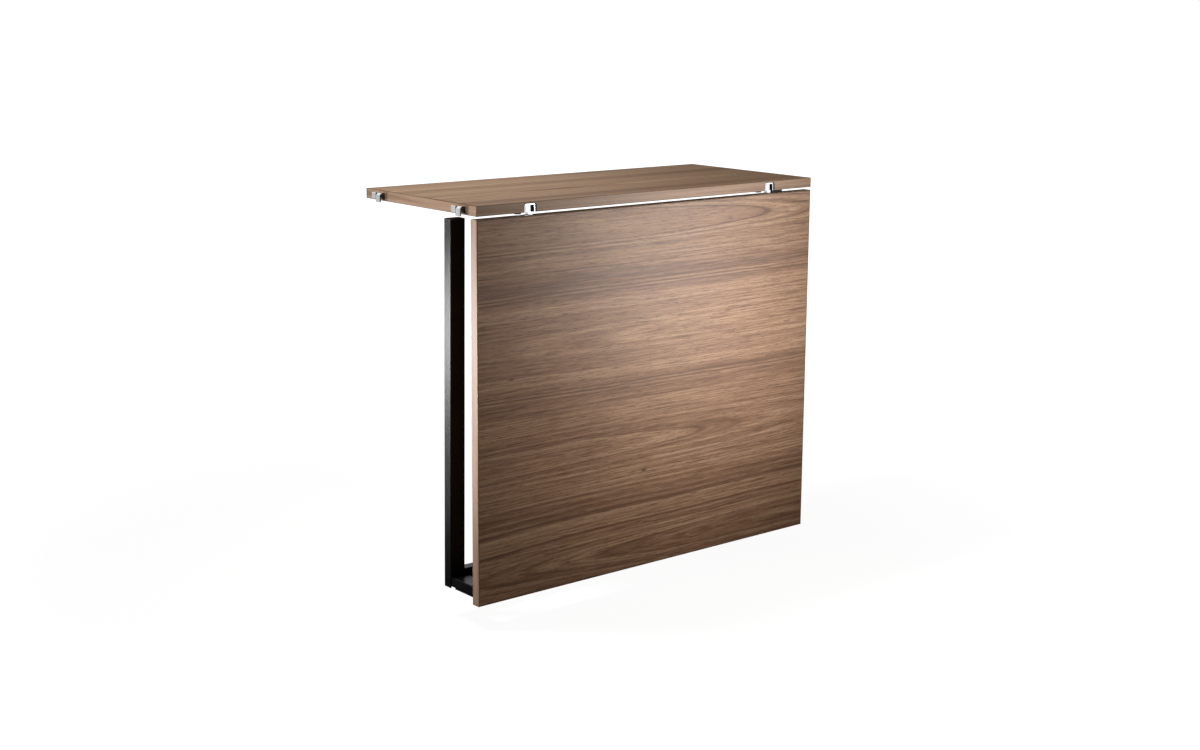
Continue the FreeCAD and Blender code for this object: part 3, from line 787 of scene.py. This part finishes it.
def makeWeldBead(name, side, plan):
    # a round section led round the rail's outline
    shape = bmesh.new()
    bmesh.ops.create_circle(shape, segments=8, radius=plan["radius"])
    for axis in "YZ":
        bmesh.ops.rotate(shape, cent=(0, 0, 0), matrix=turned(90, axis), verts=shape.verts)
    halfY, halfZ = plan["half"]
    flatY = halfY - plan["corner"]
    flatZ = halfZ - plan["corner"]
    bmesh.ops.translate(shape, vec=(0, -flatY, halfZ), verts=shape.verts)
    lead = list(shape.edges)
    # a straight stretch, then the corner where it ends
    for alongY, alongZ, cornerY, cornerZ in ((1, 0, 1, 1), (0, -1, 1, -1), (-1, 0, -1, -1), (0, 1, -1, 1)):
        step = (0, 2 * alongY * flatY / plan["steps"], 2 * alongZ * flatZ / plan["steps"])
        for count in range(plan["steps"]):
            grown = bmesh.ops.extrude_edge_only(shape, edges=lead)["geom"]
            moved = pick(grown, bmesh.types.BMVert)
            bmesh.ops.translate(shape, vec=step, verts=moved)
            sides = pick(grown, bmesh.types.BMEdge)
            lead = [edge for edge in sides if all(vert in moved for vert in edge.verts)]
        bend = bmesh.ops.spin(shape, geom=lead, cent=(0, cornerY * flatY, cornerZ * flatZ), axis=(1, 0, 0),
                              angle=math.radians(-90), steps=4)
        lead = pick(bend["geom_last"], bmesh.types.BMEdge)
    bmesh.ops.remove_doubles(shape, verts=shape.verts, dist=plan["mergeGap"])
    middleX = side * (plan["joint"] - plan["sink"])
    bmesh.ops.translate(shape, vec=(middleX, *plan["centre"]), verts=shape.verts)
    leanShape(shape)
    rateY, rateZ = plan["rate"]
    for vert in shape.verts:
        # slow ripple of a hand-led bead
        wave = math.sin(vert.co.y * rateY) * math.cos(vert.co.z * rateZ)
        vert.co.x -= side * plan["ripple"] * wave
    makePiece(name, shape, "leg_frame", "coat")


makeWeldBead("weldBeadLeft", -1, weldBead)
makeWeldBead("weldBeadRight", 1, weldBead)
print("weld beads: 2")


# Floor, light and camera

def makePlane(name, half, spot, tip=0.0, turn=0.0):
    shape = bmesh.new()
    bmesh.ops.create_grid(shape, x_segments=1, y_segments=1, size=half)
    bmesh.ops.rotate(shape, cent=(0, 0, 0), matrix=turned(turn, "Z") @ turned(tip, "X"), verts=shape.verts)
    bmesh.ops.translate(shape, vec=spot, verts=shape.verts)
    return addObject(name, meshFrom(name, shape))


def seenRays(tree):
    # what the camera sees by itself, in a mirror or through glass
    rays = addNode(tree, "ShaderNodeLightPath").outputs
    seen = math2(tree, "MAXIMUM", rays["Is Camera Ray"], rays["Is Glossy Ray"])
    return math2(tree, "MAXIMUM", seen, rays["Is Transmission Ray"])


floorPlan = {
    "height": -0.7182,
    "reach": 14.0,
    "colour": (0.80, 0.80, 0.80, 1),
    "rough": 0.9,
    "near": (0.8, 0.77),     # distance from the origin, and how much of the floor is plain white there
    "far": (2.6, 1.0),
    "strength": 1.22,
}


def makeFloor(plan):
    floor = makePlane("floor", plan["reach"], (0, 0, plan["height"]))
    made, tree, shader = startMaterial("paleFloor")
    wire(tree, shader, {"Base Color": plan["colour"], "Roughness": plan["rough"], "Specular IOR Level": 0.0})
    # the camera and mirrors see a white floor that still takes the shadow
    glow = addNode(tree, "ShaderNodeEmission", {"Color": (1, 1, 1, 1), "Strength": plan["strength"]})
    away = addNode(tree, "ShaderNodeVectorMath", {0: coordsOf(tree)}, operation="LENGTH").outputs["Value"]
    nearAway, nearShare = plan["near"]
    farAway, farShare = plan["far"]
    share = remap(tree, away, nearAway, farAway, nearShare, farShare, "SMOOTHSTEP")
    white = math2(tree, "MULTIPLY", seenRays(tree), share)
    mix = addNode(tree, "ShaderNodeMixShader", {0: white, 1: shader.outputs[0], 2: glow.outputs[0]})
    wire(tree, tree.nodes["Material Output"], {"Surface": mix.outputs[0]})
    floor.data.materials.append(made)


surround = {"colour": (1.0, 1.0, 1.0, 1), "light": 0.11}


def makeSurround(plan):
    world = bpy.data.worlds.new("studio")
    world.use_nodes = True
    tree = world.node_tree
    tree.nodes.clear()
    dim = addNode(tree, "ShaderNodeBackground", {"Color": plan["colour"], "Strength": plan["light"]})
    white = addNode(tree, "ShaderNodeBackground", {"Color": (1, 1, 1, 1), "Strength": 1.0})
    mix = addNode(tree, "ShaderNodeMixShader", {0: seenRays(tree), 1: dim.outputs[0], 2: white.outputs[0]})
    addNode(tree, "ShaderNodeOutputWorld", {"Surface": mix.outputs[0]})
    bpy.context.scene.world = world


softBoxes = {
    "frontRight": {
        "spot": (0.874, -1.400, -0.233), "aim": (0.128, -0.335, -0.218),
        "size": (0.38, 0.56), "spread": 38.0, "power": 1.56},
    "leftSide": {
        "spot": (-1.632, 0.876, -0.502), "aim": (-0.390, -0.373, -0.284),
        "size": (0.60, 0.26), "spread": 34.2, "power": 2.30},
    "overLeft": {
        "spot": (-0.825, 0.075, 1.076), "aim": (-0.060, -0.141, 0.009),
        "size": (0.25, 0.25), "spread": 81.0, "power": 3.75},
}


def makeSoftBox(name, box):
    lamp = bpy.data.lights.new(name, "AREA")
    lamp.shape = "RECTANGLE"
    lamp.size, lamp.size_y = box["size"]
    lamp.spread = math.radians(box["spread"])
    lamp.energy = box["power"]
    holder = addObject(name, lamp)
    holder.location = box["spot"]
    aim = Vector(box["aim"]) - Vector(box["spot"])
    holder.rotation_euler = aim.to_track_quat("-Z", "Y").to_euler()
    holder.visible_camera = False


# Cards that only mirrors see, for depth in the chrome: dark above, below and behind, pale on the left
cards = {
    "overCard": {"spot": (-0.2, -0.6, 1.5), "half": 1.1, "tip": 0.0, "turn": 0.0, "glow": 0.01},
    "leftCard": {"spot": (-2.0, 1.75, -0.1), "half": 0.9, "tip": 90.0, "turn": 40.0, "glow": 0.62},
    "floorCard": {"spot": (0.1, -1.3, -0.7165), "half": 1.5, "tip": 180.0, "turn": 0.0, "glow": 0.02},
    "rearCard": {"spot": (2.75, 1.55, 0.3), "half": 1.0, "tip": 90.0, "turn": -60.0, "glow": 0.05},
}


def makeCard(name, plan):
    card = makePlane(name, plan["half"], plan["spot"], plan["tip"], plan["turn"])
    made, tree, shader = startMaterial(name)
    wire(tree, shader, {
        "Base Color": (0.0, 0.0, 0.0, 1),
        "Specular IOR Level": 0.0,
        "Emission Color": (1, 1, 1, 1),
        "Emission Strength": plan["glow"],
    })
    card.data.materials.append(made)
    card.visible_camera = False
    card.visible_diffuse = False
    card.visible_transmission = False
    card.visible_shadow = False


# The photograph's viewpoint: turned right of +Y, tilted down, a little shift to hold the uprights
photoView = {
    "spot": (-2.0633, -2.6810, 0.3532),
    "turn": 39.5256,
    "tilt": -10.6975,
    "roll": 0.4256,
    "lens": 53.2177,
    "sensor": 36.0,
    "shiftUp": -0.04,
}


def makeCamera(look):
    lens = bpy.data.cameras.new("photoCamera")
    lens.lens = look["lens"]
    lens.sensor_width = look["sensor"]
    lens.shift_y = look["shiftUp"]
    camera = addObject("photoCamera", lens)
    turn = Matrix.Rotation(math.radians(-look["turn"]), 4, "Z")
    tilt = Matrix.Rotation(math.radians(90 + look["tilt"]), 4, "X")
    roll = Matrix.Rotation(math.radians(look["roll"]), 4, "Z")
    camera.matrix_world = Matrix.Translation(look["spot"]) @ turn @ tilt @ roll
    bpy.context.scene.camera = camera


makeFloor(floorPlan)
makeSurround(surround)
for name, box in softBoxes.items():
    makeSoftBox(name, box)
for name, plan in cards.items():
    makeCard(name, plan)
makeCamera(photoView)
bpy.context.scene.view_settings.view_transform = "Standard"
print("studio ready")
